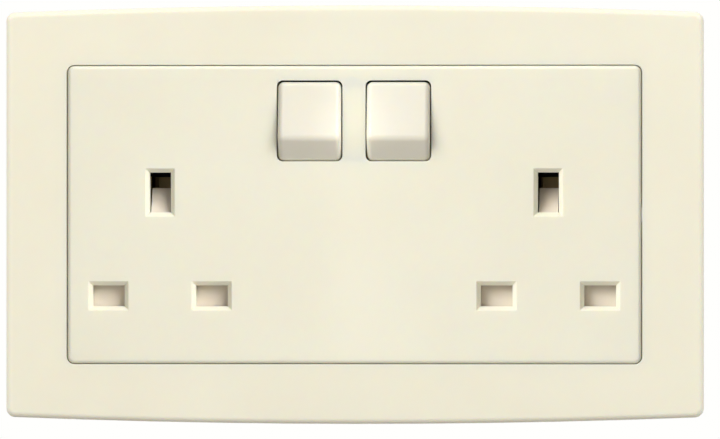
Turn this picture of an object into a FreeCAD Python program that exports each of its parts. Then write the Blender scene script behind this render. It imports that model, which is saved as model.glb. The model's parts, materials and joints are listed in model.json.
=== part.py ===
import FreeCAD, Part
import math
import os
import Sketcher

# Twin switched socket for a two-gang box. Lengths in millimetres, angles in degrees.
# Frame: +X to the right and +Z up as the user sees it, the front faces -Y.
# The origin is the middle of the two fixing holes on the wall plane, y = 0.
# Heights are measured forward from the wall, so a height is minus y.

SIZES = [
    # outer frame
    ("border_side", 13.25),
    ("border_end", 13.0),
    ("frame_bow", 1.5),
    ("frame_deep", 9.5),
    ("frame_wall", 2.0),
    ("frame_corner", 1.9),
    ("frame_edge", 1.2),
    ("collar_wall", 1.5),
    ("rib_thick", 1.2),
    ("rib_step", 24.0),
    ("hook_across", 40.0),
    ("hook_wide", 8.0),
    ("hook_thick", 1.4),
    ("hook_bite", 0.8),
    # face plate
    ("insert_side_margin", 5.46),
    ("insert_top_margin", 3.15),
    ("insert_corner", 1.5),
    ("insert_edge", 0.9),
    ("insert_gap", 0.15),
    ("insert_proud", 0.4),
    ("web", 2.0),
    ("skirt", 1.3),
    ("clip_up", 20.0),
    ("clip_wide", 6.0),
    ("clip_thick", 1.2),
    ("clip_bite", 0.7),
    # sockets
    ("socket_across", 41.75),
    ("earth_up", 4.77),
    ("pin_pitch", 22.23),
    ("pin_drop", 22.23),
    ("earth_slot_wide", 4.55),
    ("earth_slot_tall", 8.58),
    ("flat_slot_wide", 6.85),
    ("flat_slot_tall", 4.5),
    ("slot_chamfer", 0.9),
    ("shroud_wall", 1.2),
    ("slot_deep", 3.4),
    # switches
    ("switch_across", 9.55),
    ("switch_up", 20.15),
    ("window_wide", 14.15),
    ("window_tall", 17.4),
    ("window_corner", 1.3),
    ("window_lip", 0.5),
    ("rocker_side_gap", 0.28),
    ("rocker_end_gap", 0.35),
    ("rocker_swept_gap", 0.2),
    ("rocker_back", 4.2),
    ("rocker_side_round", 1.2),
    ("rocker_corner_extra", 0.1),
    ("rocker_wall", 1.5),
    ("ridge_down", 3.8),
    ("ridge_proud", 2.9),
    ("ridge_round", 2.0),
    ("facet_sunk", 0.8),
    ("rocker_top_proud", 0.3),
    ("hinge_deep", 3.2),
    ("trunnion_radius", 1.0),
    ("trunnion_long", 2.2),
    ("trunnion_play", 0.05),
    ("rest_tilt", 7.0),
    ("stem_radius", 2.8),
    ("stem_long", 9.0),
    ("bore_radius", 1.9),
    ("bore_start", 1.6),
    ("flash_wide", 4.2),
    ("flash_thick", 0.5),
    ("flash_back", 3.7),
    ("flash_front", 0.5),
    # plunger and rocker spring
    ("plunger_radius", 1.82),
    ("plunger_tail", 7.6),
    ("plunger_reach", 13.4),
    ("spring_mean", 1.5),
    ("spring_wire", 0.3),
    # see-saw contacts
    ("see_saw_behind", 14.0),
    ("see_saw_tilt", 11.5),
    ("see_saw_half", 8.0),
    ("see_saw_wide", 5.0),
    ("see_saw_thick", 1.0),
    ("knuckle_radius", 1.3),
    ("knuckle_play", 0.05),
    ("pad_up", 7.0),
    ("pad_half", 1.5),
    ("pad_thick", 0.8),
    ("saddle_drop", 0.9),
    ("saddle_deep", 3.0),
    ("fixed_pad_thick", 0.65),
    # brass strips
    ("strip_thick", 0.8),
    ("live_layer", 11.0),
    ("earth_layer", 17.0),
    ("leaf_thick", 0.7),
    ("flat_pin_thick", 3.97),
    ("jaw_wide", 5.6),
    ("earth_jaw_tall", 7.0),
    ("jaw_mouth", 0.7),
    ("jaw_front", 1.5),
    ("earth_jaw_front", 3.0),
    ("run_wide", 3.2),
    ("live_bar_wide", 5.1),
    ("earth_bar_wide", 4.5),
    ("column_wide", 3.6),
    # terminals
    ("terminal_pitch", 13.0),
    ("terminal_wide", 8.0),
    ("terminal_top", 11.0),
    ("terminal_tall", 9.5),
    ("terminal_deep", 8.2),
    ("cable_radius", 2.2),
    ("cable_deep", 4.1),
    ("cable_mouth", 5.6),
    ("terminal_screw_radius", 1.9),
    ("terminal_head_radius", 2.9),
    ("terminal_head_thick", 1.9),
    ("head_play", 0.35),
    ("seat_gap", 0.1),
    ("driver_slot", 0.8),
    # shutters
    ("shutter_thick", 3.0),
    ("shutter_play", 0.2),
    ("shutter_travel", 5.5),
    ("flap_wide", 30.4),
    ("flap_over", 0.75),
    ("flap_under", 1.25),
    ("stem_wide", 8.0),
    ("ramp_gap", 3.3),
    ("ramp_deep", 4.7),
    ("ramp_back", 1.5),
    ("ramp_foot", 1.0),
    ("peg_top", 8.6),
    ("peg_tall", 1.7),
    ("shutter_spring_mean", 0.85),
    ("shutter_spring_wire", 0.18),
    ("spring_room_wide", 3.0),
    ("spring_room_top", 0.8),
    ("spring_room_low", 13.2),
    ("rail_wide", 1.5),
    ("rail_play", 0.2),
    # chassis
    ("flange_thick", 3.0),
    ("flange_over", 0.5),
    ("flange_corner", 3.0),
    ("fixing_pitch", 120.6),
    ("fixing_radius", 2.1),
    ("head_room", 4.5),
    ("head_room_deep", 3.2),
    ("bearing_tall", 5.2),
    ("bearing_wide", 2.2),
    ("bearing_gap", 0.3),
    ("well_over", 0.7),
    ("clip_play", 0.4),
    ("lip_thick", 1.2),
    # rear housing
    ("fixing_clear", 2.3),
    ("strip_room", 0.65),
    ("housing_wall", 2.0),
    ("housing_corner", 1.5),
    ("lug_room_wide", 4.0),
    ("lug_room_tall", 15.0),
    ("pillar_half", 2.5),
    ("lower_pillar_across", 45.0),
    ("boss_half", 2.2),
    ("boss_tall", 4.0),
    ("screw_radius", 1.25),
    ("screw_hole_play", 0.45),
    ("pilot_play", 0.05),
    ("screw_bite", 1.5),
    ("screw_head_radius", 2.4),
    ("screw_head_thick", 1.8),
    ("barrier_thick", 1.2),
    ("barrier_gap", 0.2),
]

doc = FreeCAD.newDocument("TwinSocket")
sheet = doc.addObject("Spreadsheet::Sheet", "Sizes")


class Size:
    """A length kept both as a sheet expression and as its present value."""

    def __init__(self, text, value):
        self.text = text
        self.value = value

    def __add__(self, other):
        other = size(other)
        return Size(f"({self.text} + {other.text})", self.value + other.value)

    def __sub__(self, other):
        other = size(other)
        return Size(f"({self.text} - {other.text})", self.value - other.value)

    def __mul__(self, other):
        other = size(other)
        return Size(f"({self.text} * {other.text})", self.value * other.value)

    def __truediv__(self, other):
        other = size(other)
        return Size(f"({self.text} / {other.text})", self.value / other.value)

    def __neg__(self):
        return Size(f"(0 - {self.text})", -self.value)

    def __radd__(self, other):
        return size(other) + self

    def __rsub__(self, other):
        return size(other) - self

    def __rmul__(self, other):
        return size(other) * self


def size(number):
    return number if isinstance(number, Size) else Size(repr(float(number)), float(number))


def larger(one, other):
    return Size(f"max({one.text}; {other.text})", max(one.value, other.value))


def root(number):
    return Size(f"sqrt({number.text})", math.sqrt(number.value))


def sine(angle):
    return Size(f"sin({angle.text})", math.sin(math.radians(angle.value)))


def cosine(angle):
    return Size(f"cos({angle.text})", math.cos(math.radians(angle.value)))


class Named:
    """The sheet's sizes, read as attributes."""


def fill_sheet():
    named = Named()
    for row, (name, value) in enumerate(SIZES, start=1):
        sheet.set(f"A{row}", name)
        sheet.set(f"B{row}", str(value))
        sheet.setAlias(f"B{row}", name)
        setattr(named, name, Size(f"Sizes.{name}", value))
    doc.recompute()
    return named


S = fill_sheet()
NEAR = 0.02
ANYWHERE = 1e6
SMALLEST_CUT = 1e-6


def bind(thing, place, number):
    """Ties a property to the sheet; its present value is set by the recompute."""
    thing.setExpression(place, size(number).text)


def new_body(name):
    body = doc.addObject("PartDesign::Body", name)
    body.Label = name
    return body


def new_sketch(body, role, offset, across=0, up=0, turn=0):
    """A sketch on an origin plane, moved off it by offset and then across, up and turned in it."""
    plane = next(f for f in body.Origin.OriginFeatures if f.Role == role)
    sketch = body.newObject("Sketcher::SketchObject", body.Name + "_sketch")
    sketch.AttachmentSupport = [(plane, "")]
    sketch.MapMode = "FlatFace"
    normal = FreeCAD.Vector(0, 0, 1)
    turned = FreeCAD.Rotation(normal, size(turn).value or 1.0)
    sketch.AttachmentOffset = FreeCAD.Placement(FreeCAD.Vector(), turned)
    bind(sketch, "AttachmentOffset.Base.x", across)
    bind(sketch, "AttachmentOffset.Base.y", up)
    bind(sketch, "AttachmentOffset.Base.z", offset)
    bind(sketch, "AttachmentOffset.Rotation.Angle", turn)
    return sketch


def front_sketch(body, height):
    """Seen from the front: x to the right, z up, drawn at a height off the wall."""
    return new_sketch(body, "XZ_Plane", height)


def side_sketch(body, x, height=0, up=0, turn=0):
    """Seen from the side: depth into the wall along the first axis, z along the second."""
    return new_sketch(body, "YZ_Plane", x, -size(height), up, turn)


def plan_sketch(body, z):
    """Seen from above: x along the first axis, depth into the wall along the second."""
    return new_sketch(body, "XY_Plane", z)


def constrain(sketch, rules):
    """Adds (constraint, expression or None) pairs."""
    first = sketch.ConstraintCount
    sketch.addConstraint([rule for rule, text in rules])
    for index, (rule, text) in enumerate(rules, start=first):
        if text:
            sketch.setExpression(f"Constraints[{index}]", text)


def place_point(rules, line, end, point):
    for kind, number in zip(("DistanceX", "DistanceY"), point):
        number = size(number)
        rules.append((Sketcher.Constraint(kind, -1, 1, line, end, number.value), number.text))


def polygon(sketch, points):
    first = sketch.GeometryCount
    spots = [FreeCAD.Vector(size(a).value, size(b).value, 0) for a, b in points]
    count = len(points)
    lines = [Part.LineSegment(spots[i], spots[(i + 1) % count]) for i in range(count)]
    sketch.addGeometry(lines, False)
    rules = []
    for i in range(count):
        after = first + (i + 1) % count
        rules.append((Sketcher.Constraint("Coincident", first + i, 2, after, 1), None))
        place_point(rules, first + i, 1, points[i])
    constrain(sketch, rules)


def box_outline(sketch, low, high):
    polygon(sketch, [low, (high[0], low[1]), high, (low[0], high[1])])


def centred_outline(sketch, middle, wide, tall):
    a, b = size(middle[0]), size(middle[1])
    wide, tall = size(wide), size(tall)
    box_outline(sketch, (a - wide / 2, b - tall / 2), (a + wide / 2, b + tall / 2))


def circle(sketch, middle, radius):
    a, b, radius = size(middle[0]), size(middle[1]), size(radius)
    centre = FreeCAD.Vector(a.value, b.value, 0)
    index = sketch.addGeometry(Part.Circle(centre, FreeCAD.Vector(0, 0, 1), radius.value), False)
    rules = [(Sketcher.Constraint("Radius", index, radius.value), radius.text)]
    place_point(rules, index, 3, (a, b))
    constrain(sketch, rules)


def bowed_outline(sketch, half_wide, half_tall, bow):
    """Straight sides, and top and bottom edges that rise by bow in their middle."""
    half_wide, half_tall, bow = size(half_wide), size(half_tall), size(bow)
    corner = half_tall - bow
    radius = (half_wide * half_wide + bow * bow) / (bow * 2)
    w, c, t = half_wide.value, corner.value, half_tall.value
    spots = [FreeCAD.Vector(a, b, 0) for a, b in ((w, -c), (w, c), (0, t), (-w, c), (-w, -c), (0, -t))]
    edges = [
        Part.LineSegment(spots[0], spots[1]),
        Part.Arc(spots[1], spots[2], spots[3]),
        Part.LineSegment(spots[3], spots[4]),
        Part.Arc(spots[4], spots[5], spots[0]),
    ]
    first = sketch.GeometryCount
    sketch.addGeometry(edges, False)
    rules = []
    for i in (0, 2):
        rules.append((Sketcher.Constraint("Coincident", first + i, 2, first + i + 1, 1), None))
        after = first + (i + 2) % 4
        rules.append((Sketcher.Constraint("Coincident", first + i + 1, 2, after, 1), None))
        side = half_wide if i == 0 else -half_wide
        low = corner if i else -corner
        place_point(rules, first + i, 1, (side, low))
        place_point(rules, first + i, 2, (side, -low))
        rules.append((Sketcher.Constraint("Radius", first + i + 1, radius.value), radius.text))
    constrain(sketch, rules)


def feature(body, kind, sketch, length, reverse):
    made = body.newObject(kind, body.Name + "_step")
    made.Profile = sketch
    sketch.Visibility = False
    made.Reversed = reverse
    bind(made, "Length", length)
    doc.recompute()
    return made


def pad(body, sketch, length, reverse=False):
    """Adds material along the sketch's own normal: forward, to the right or up."""
    return feature(body, "PartDesign::Pad", sketch, length, reverse)


def pocket(body, sketch, length, forward=True):
    """Cuts along the sketch's own normal, or against it; a cut that removes nothing is refused."""
    before = body.Shape.Volume
    made = feature(body, "PartDesign::Pocket", sketch, length, forward)
    if made.Shape.Volume > before - SMALLEST_CUT:
        raise ValueError(f"{made.Name} cuts nothing")
    return made


def revolve(body, sketch, axis="H_Axis"):
    made = body.newObject("PartDesign::Revolution", body.Name + "_turned")
    made.Profile = sketch
    made.ReferenceAxis = (sketch, [axis])
    made.Angle = 360
    doc.recompute()
    return made


def groove(body, sketch, axis="H_Axis"):
    before = body.Shape.Volume
    made = body.newObject("PartDesign::Groove", body.Name + "_bored")
    made.Profile = sketch
    made.ReferenceAxis = (sketch, [axis])
    made.Angle = 360
    doc.recompute()
    if made.Shape.Volume > before - SMALLEST_CUT:
        raise ValueError(f"{made.Name} cuts nothing")
    return made


def edges_within(body, x=None, height=None, z=None):
    """Names of the edges that lie wholly within the ranges; a single number is a flat range."""
    spans = []
    for given in (x, height, z):
        if given is None:
            spans.append((-ANYWHERE, ANYWHERE))
            continue
        low, high = given if isinstance(given, tuple) else (given, given)
        low, high = size(low).value, size(high).value
        spans.append((min(low, high) - NEAR, max(low, high) + NEAR))
    (x_low, x_high), (h_low, h_high), (z_low, z_high) = spans
    found = []
    for index, edge in enumerate(body.Shape.Edges, start=1):
        box = edge.BoundBox
        inside = x_low <= box.XMin and box.XMax <= x_high
        inside = inside and h_low <= -box.YMax and -box.YMin <= h_high
        if inside and z_low <= box.ZMin and box.ZMax <= z_high:
            found.append(f"Edge{index}")
    return found


def along(body, names, direction):
    """Keeps the straight edges that run along a direction."""
    kept = []
    for name in names:
        edge = body.Shape.getElement(name)
        straight = isinstance(edge.Curve, Part.Line)
        if straight and edge.Curve.Direction.cross(direction).Length < NEAR:
            kept.append(name)
    return kept


def dress(body, kind, names, amount):
    """Rounds or chamfers the named edges of the body's present solid."""
    if not names:
        raise ValueError(f"no edges to dress on {body.Label}")
    base = body.Tip
    made = body.newObject(kind, body.Name + "_edge")
    made.Base = (base, names)
    bind(made, "Radius" if kind == "PartDesign::Fillet" else "Size", amount)
    doc.recompute()
    return made


def fillet(body, names, radius):
    return dress(body, "PartDesign::Fillet", names, radius)


def chamfer(body, names, amount):
    return dress(body, "PartDesign::Chamfer", names, amount)


DEPTH_WAY = FreeCAD.Vector(0, 1, 0)
ACROSS_WAY = FreeCAD.Vector(1, 0, 0)
SIDES = (-1, 1)
TIP_STEPS = 2
COIL_STEPS = 8
WIRE_SIDES = 3
ROCKER_SPRING_TURNS = 5
SHUTTER_SPRING_TURNS = 6

# Outer sizes, worked out from what they hold.
insert_wide = (S.socket_across + S.pin_pitch / 2 + S.flat_slot_wide / 2 + S.insert_side_margin) * 2
insert_tall = (S.switch_up + S.window_tall / 2 + S.insert_top_margin) * 2
frame_half_wide = insert_wide / 2 + S.border_side
frame_half_tall = insert_tall / 2 + S.border_end
run_high = S.switch_up + S.pad_up + S.pad_half
housing_half_wide = S.fixing_pitch / 2 - S.fixing_clear
housing_half_tall = run_high + S.strip_room + S.housing_wall
layers_deep = larger(S.live_layer + S.terminal_deep, S.earth_layer + S.strip_room)
housing_deep = layers_deep + S.strip_thick + S.housing_wall
pillar_across = housing_half_wide - S.housing_wall - S.pillar_half
pillar_up = housing_half_tall - S.housing_wall - S.pillar_half

# Heights off the wall plane, worked out from the driving sizes.
face_height = S.frame_deep + S.insert_proud
web_back = face_height - S.web
shroud_end = face_height - S.slot_deep
hinge_height = face_height - S.hinge_deep
flange_front = S.flange_thick
pivot_height = hinge_height - S.see_saw_behind
live_front = -S.live_layer
live_back = live_front - S.strip_thick
earth_front = -S.earth_layer
earth_back = earth_front - S.strip_thick
floor_height = S.housing_wall - housing_deep
shutter_back = flange_front + S.shutter_play
shutter_front = shutter_back + S.shutter_thick
ramp_nose = web_back - S.shutter_play

# Places seen from the front.
opening_wide = insert_wide + S.insert_gap * 2
opening_tall = insert_tall + S.insert_gap * 2
collar_wide = opening_wide + S.collar_wall * 2
collar_tall = opening_tall + S.collar_wall * 2
flange_half_wide = collar_wide / 2 + S.flange_over
flange_half_tall = collar_tall / 2 + S.flange_over
flat_up = S.earth_up - S.pin_drop
rocker_half_wide = S.window_wide / 2 - S.rocker_side_gap
rocker_top = S.switch_up + S.window_tall / 2 - S.rocker_end_gap
rocker_corner = S.rocker_side_round + S.rocker_corner_extra


def socket_x(side):
    return S.socket_across * side


def flat_pins(side):
    """Neutral and live pin places of one socket, neutral on the left."""
    return (socket_x(side) - S.pin_pitch / 2, socket_x(side) + S.pin_pitch / 2)


def make_outer_frame():
    body = new_body("outer_frame")
    half_wide, half_tall = frame_half_wide, frame_half_tall
    sketch = front_sketch(body, 0)
    bowed_outline(sketch, half_wide, half_tall, S.frame_bow)
    pad(body, sketch, S.frame_deep)
    fillet(body, along(body, edges_within(body), DEPTH_WAY), S.frame_corner)
    fillet(body, edges_within(body, height=S.frame_deep), S.frame_edge)

    # Hollow behind the web, down to the wall; the collar round the insert starts at the flange.
    inner = (half_wide - S.frame_wall, half_tall - S.frame_wall, S.frame_bow)
    sketch = front_sketch(body, 0)
    bowed_outline(sketch, *inner)
    pocket(body, sketch, flange_front)
    sketch = front_sketch(body, flange_front)
    bowed_outline(sketch, *inner)
    centred_outline(sketch, (0, 0), collar_wide, collar_tall)
    pocket(body, sketch, S.frame_deep - S.frame_wall - flange_front)
    sketch = front_sketch(body, flange_front)
    centred_outline(sketch, (0, 0), opening_wide, opening_tall)
    pocket(body, sketch, S.frame_deep - flange_front)
    corners = edges_within(body, x=(-opening_wide / 2, opening_wide / 2),
                           z=(-opening_tall / 2, opening_tall / 2))
    fillet(body, along(body, corners, DEPTH_WAY), S.insert_corner + S.insert_gap)
    rim = edges_within(body, x=(-opening_wide / 2, opening_wide / 2), height=S.frame_deep,
                       z=(-opening_tall / 2, opening_tall / 2))
    chamfer(body, rim, S.insert_gap)

    # Stiffening ribs between the collar and the outer wall.
    web_under = S.frame_deep - S.frame_wall
    rib_start = flange_front + S.hook_thick
    sketch = front_sketch(body, rib_start)
    for side in SIDES:
        for step in (-2, -1, 0, 1, 2):
            x = S.rib_step * step
            near, far = collar_tall / 2 - S.collar_wall / 2, half_tall - S.frame_bow - S.frame_wall / 2
            middle = (near + far) / 2 * side
            centred_outline(sketch, (x, middle), S.rib_thick, far - near)
        for z in SIDES:
            near, far = collar_wide / 2 - S.collar_wall / 2, half_wide - S.frame_wall / 2
            centred_outline(sketch, ((near + far) / 2 * side, S.clip_up * z), far - near, S.rib_thick)
    pad(body, sketch, web_under - rib_start + S.frame_wall / 2)

    # Snap hooks that catch the chassis flange from above and below.
    leg_low = flange_half_tall + S.insert_gap
    leg_high = leg_low + S.hook_thick
    for name, start, length, inner_edge in (
        ("leg", S.clip_play, web_under - S.clip_play + S.frame_wall / 2, leg_low),
        ("tooth", S.clip_play, S.hook_bite, flange_half_tall - S.hook_bite),
    ):
        sketch = front_sketch(body, start)
        for side in SIDES:
            for end in SIDES:
                middle = (S.hook_across * side, (inner_edge + leg_high) / 2 * end)
                centred_outline(sketch, middle, S.hook_wide, leg_high - inner_edge)
        pad(body, sketch, length)

    # Room for the heads of the two fixing screws.
    sketch = front_sketch(body, flange_front)
    for side in SIDES:
        middle = (collar_wide / 2 * side, 0)
        centred_outline(sketch, middle, S.collar_wall * 2 + S.insert_gap, S.head_room * 2)
    pocket(body, sketch, S.head_room_deep)
    return body


def make_face_plate():
    body = new_body("face_plate")
    sketch = front_sketch(body, flange_front)
    centred_outline(sketch, (0, 0), insert_wide, insert_tall)
    pad(body, sketch, face_height - flange_front)
    fillet(body, along(body, edges_within(body), DEPTH_WAY), S.insert_corner)
    fillet(body, edges_within(body, height=face_height), S.insert_edge)
    sketch = front_sketch(body, flange_front)
    centred_outline(sketch, (0, 0), insert_wide - S.skirt * 2, insert_tall - S.skirt * 2)
    pocket(body, sketch, web_back - flange_front)

    # Shrouds round the pin slots, then the slots through them. The earth slot's shroud is open
    # below, where the shutter's ramp slides down.
    flat_tall, flat_wide = S.flat_slot_tall, S.flat_slot_wide
    earth_tall, earth_wide = S.earth_slot_tall, S.earth_slot_wide
    for grow, start, length, cut in (
        (S.shroud_wall, shroud_end, web_back - shroud_end + S.web / 2, False),
        (size(0), shroud_end, face_height - shroud_end, True),
    ):
        sketch = front_sketch(body, start)
        for side in SIDES:
            middle = (socket_x(side), S.earth_up + grow / 2)
            centred_outline(sketch, middle, earth_wide + grow * 2, earth_tall + grow)
            for x in flat_pins(side):
                centred_outline(sketch, (x, flat_up), flat_wide + grow * 2, flat_tall + grow * 2)
        if cut:
            pocket(body, sketch, length)
        else:
            pad(body, sketch, length)
    slot_edges = []
    for side in SIDES:
        slots = [(socket_x(side), S.earth_up, earth_wide, earth_tall)]
        slots += [(x, flat_up, flat_wide, flat_tall) for x in flat_pins(side)]
        for x, z, wide, tall in slots:
            slot_edges += edges_within(body, x=(x - wide / 2, x + wide / 2), height=face_height,
                                       z=(z - tall / 2, z + tall / 2))
    chamfer(body, slot_edges, S.slot_chamfer)

    # Rocker windows: a thin square lip in front, relieved behind so the rocker's ends can swing.
    sketch = front_sketch(body, web_back)
    for side in SIDES:
        middle = (S.switch_across * side, S.switch_up)
        centred_outline(sketch, middle, S.window_wide, S.window_tall)
    pocket(body, sketch, S.web)
    window_z = (S.switch_up - S.window_tall / 2, S.switch_up + S.window_tall / 2)
    corners = []
    for side in SIDES:
        x = S.switch_across * side
        found = edges_within(body, x=(x - S.window_wide / 2, x + S.window_wide / 2), z=window_z)
        corners += along(body, found, DEPTH_WAY)
    fillet(body, corners, S.window_corner)
    relief = S.web - S.window_lip
    sketch = side_sketch(body, -S.switch_across - S.window_wide / 2)
    for end in SIDES:
        edge = S.switch_up + S.window_tall / 2 * end
        inside = edge - S.window_corner * end
        lip = -(face_height - S.window_lip)
        polygon(sketch, [(lip, inside), (lip, edge), (-web_back, edge + relief * end),
                         (-web_back, inside)])
    pocket(body, sketch, S.switch_across * 2 + S.window_wide, forward=True)

    # Clip legs on the short sides, and room for the heads of the fixing screws.
    for start, length, outer_edge in (
        (-S.clip_thick - S.clip_play, web_back + S.clip_thick + S.clip_play + S.web / 2, size(0)),
        (-S.clip_thick - S.clip_play, S.clip_thick, S.clip_bite),
    ):
        sketch = front_sketch(body, start)
        for side in SIDES:
            for end in SIDES:
                wide = S.clip_thick + outer_edge
                x = (insert_wide / 2 - S.skirt / 2 - S.clip_thick + wide / 2) * side
                centred_outline(sketch, (x, S.clip_up * end), wide, S.clip_wide)
        pad(body, sketch, length)
    sketch = front_sketch(body, flange_front)
    for side in SIDES:
        middle = ((insert_wide / 2 - S.skirt / 2) * side, 0)
        centred_outline(sketch, middle, S.skirt * 2, S.head_room * 2)
    pocket(body, sketch, S.head_room_deep)
    return body


def bearing_spans():
    """The x ranges of the three trunnion bearings: left, middle and right."""
    gap = S.bearing_gap
    inner = S.switch_across - rocker_half_wide - gap
    outer = S.switch_across + rocker_half_wide + gap
    return [(-outer - S.bearing_wide, -outer), (-inner, inner), (outer, outer + S.bearing_wide)]


def pillar_places():
    return [(across * side, pillar_up * end)
            for across, end in ((pillar_across, 1), (S.lower_pillar_across, -1))
            for side in SIDES]


def make_chassis():
    body = new_body("chassis")
    sketch = front_sketch(body, 0)
    centred_outline(sketch, (0, 0), flange_half_wide * 2, flange_half_tall * 2)
    pad(body, sketch, S.flange_thick)
    fillet(body, along(body, edges_within(body), DEPTH_WAY), S.flange_corner)

    # Fixing holes, pin openings, switch well and the slots for the face plate's clips.
    well_low = S.switch_up - S.window_tall / 2 - S.well_over
    well_high = S.switch_up + S.window_tall / 2 + S.well_over
    bearings = bearing_spans()
    sketch = front_sketch(body, 0)
    for side in SIDES:
        circle(sketch, (S.fixing_pitch / 2 * side, 0), S.fixing_radius)
        for x in flat_pins(side):
            room_wide = S.flat_slot_wide + S.shroud_wall
            centred_outline(sketch, (x, flat_up), room_wide, S.flat_slot_tall + S.shroud_wall)
        room = (S.earth_slot_wide + S.shroud_wall) / 2
        earth_low = S.earth_up - S.earth_slot_tall / 2 - S.shutter_travel - S.shroud_wall
        earth_high = S.earth_up + S.earth_slot_tall / 2 + S.shroud_wall / 2
        box_outline(sketch, (socket_x(side) - room, earth_low), (socket_x(side) + room, earth_high))
        for end in SIDES:
            x = (insert_wide / 2 - S.skirt / 2 - S.clip_thick / 2) * side
            slot_wide = S.clip_thick + S.clip_play * 2
            centred_outline(sketch, (x, S.clip_up * end), slot_wide, S.clip_wide + S.clip_play * 2)
    box_outline(sketch, (bearings[0][1], well_low), (bearings[1][0], well_high))
    box_outline(sketch, (bearings[1][1], well_low), (bearings[2][0], well_high))
    pocket(body, sketch, S.flange_thick)

    # Trunnion bearings, open at the front so that the rockers snap in.
    sketch = front_sketch(body, 0)
    for low, high in bearings:
        centred_outline(sketch, ((low + high) / 2, S.switch_up), high - low, S.bearing_tall)
    pad(body, sketch, web_back - S.bearing_gap)
    sketch = side_sketch(body, bearings[0][0])
    circle(sketch, (-hinge_height, S.switch_up), S.trunnion_radius + S.trunnion_play)
    pocket(body, sketch, bearings[2][1] - bearings[0][0])

    # Rails beside the shutters, and the pegs that their springs push on.
    flap_low = flat_up - S.flat_slot_tall / 2 - S.flap_under
    flap_high = flat_up + S.flat_slot_tall / 2 + S.flap_over
    stem_side = S.stem_wide / 2 + S.rail_play + S.rail_wide / 2
    sketch = front_sketch(body, flange_front - S.strip_thick)
    for side in SIDES:
        x = socket_x(side)
        flap_side = S.flap_wide / 2 + S.rail_play + S.rail_wide / 2
        rail_mid = (flap_low - S.shutter_travel + flap_high) / 2
        rail_tall = flap_high - flap_low + S.shutter_travel
        for end in SIDES:
            centred_outline(sketch, (x + flap_side * end, rail_mid), S.rail_wide, rail_tall)
            low = flap_high + S.rail_play
            box_outline(sketch, (x + stem_side * end - S.rail_wide / 2, low),
                        (x + stem_side * end + S.rail_wide / 2, -S.spring_room_top))
        peg_wide = S.spring_room_wide - S.rail_play * 2
        centred_outline(sketch, (x, -S.peg_top - S.peg_tall / 2), peg_wide, S.peg_tall)
    pad(body, sketch, shutter_front - flange_front + S.strip_thick)

    # Ledges under the frame's hooks.
    sketch = front_sketch(body, 0)
    for side in SIDES:
        for end in SIDES:
            middle = (S.hook_across * side, flange_half_tall * end)
            centred_outline(sketch, middle, S.hook_wide + S.clip_play * 2,
                            (S.hook_bite + S.clip_play) * 2)
    pocket(body, sketch, S.flange_thick - S.lip_thick)

    # Square bosses behind for the assembly screws, with blind pilot holes.
    sketch = front_sketch(body, -S.boss_tall)
    for place in pillar_places():
        centred_outline(sketch, place, S.boss_half * 2, S.boss_half * 2)
    pad(body, sketch, S.boss_tall + S.flange_thick / 2)
    sketch = front_sketch(body, -S.boss_tall)
    for place in pillar_places():
        circle(sketch, place, S.screw_radius + S.pilot_play)
    pocket(body, sketch, S.boss_tall + S.screw_bite + S.clip_play)
    return body


def housing_points(inset):
    """The housing's outline with a step in each short side for the box lugs."""
    half_wide = housing_half_wide - inset
    half_tall = housing_half_tall - inset
    waist = housing_half_wide - S.lug_room_wide - inset
    step = S.lug_room_tall / 2 + inset
    right = [(half_wide, -half_tall), (half_wide, -step), (waist, -step),
             (waist, step), (half_wide, step), (half_wide, half_tall)]
    return right + [(-x, -z) for x, z in right]


def terminal_places():
    """Name and x of each terminal, from the left."""
    pitch = S.terminal_pitch
    return [("earth_terminal_outer", pitch * -1.5), ("earth_terminal_inner", pitch * -0.5),
            ("neutral_terminal", pitch * 0.5), ("live_terminal", pitch * 1.5)]


terminal_low = -S.terminal_top - S.terminal_tall
cable_height = live_back - S.cable_deep
neutral_high = flat_up - S.flat_pin_thick / 2 - S.leaf_thick * 2
neutral_low = neutral_high - S.run_wide
left_column = flat_pins(-1)[1]
right_column = pillar_across - S.pillar_half - S.clip_play - S.column_wide / 2


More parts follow.
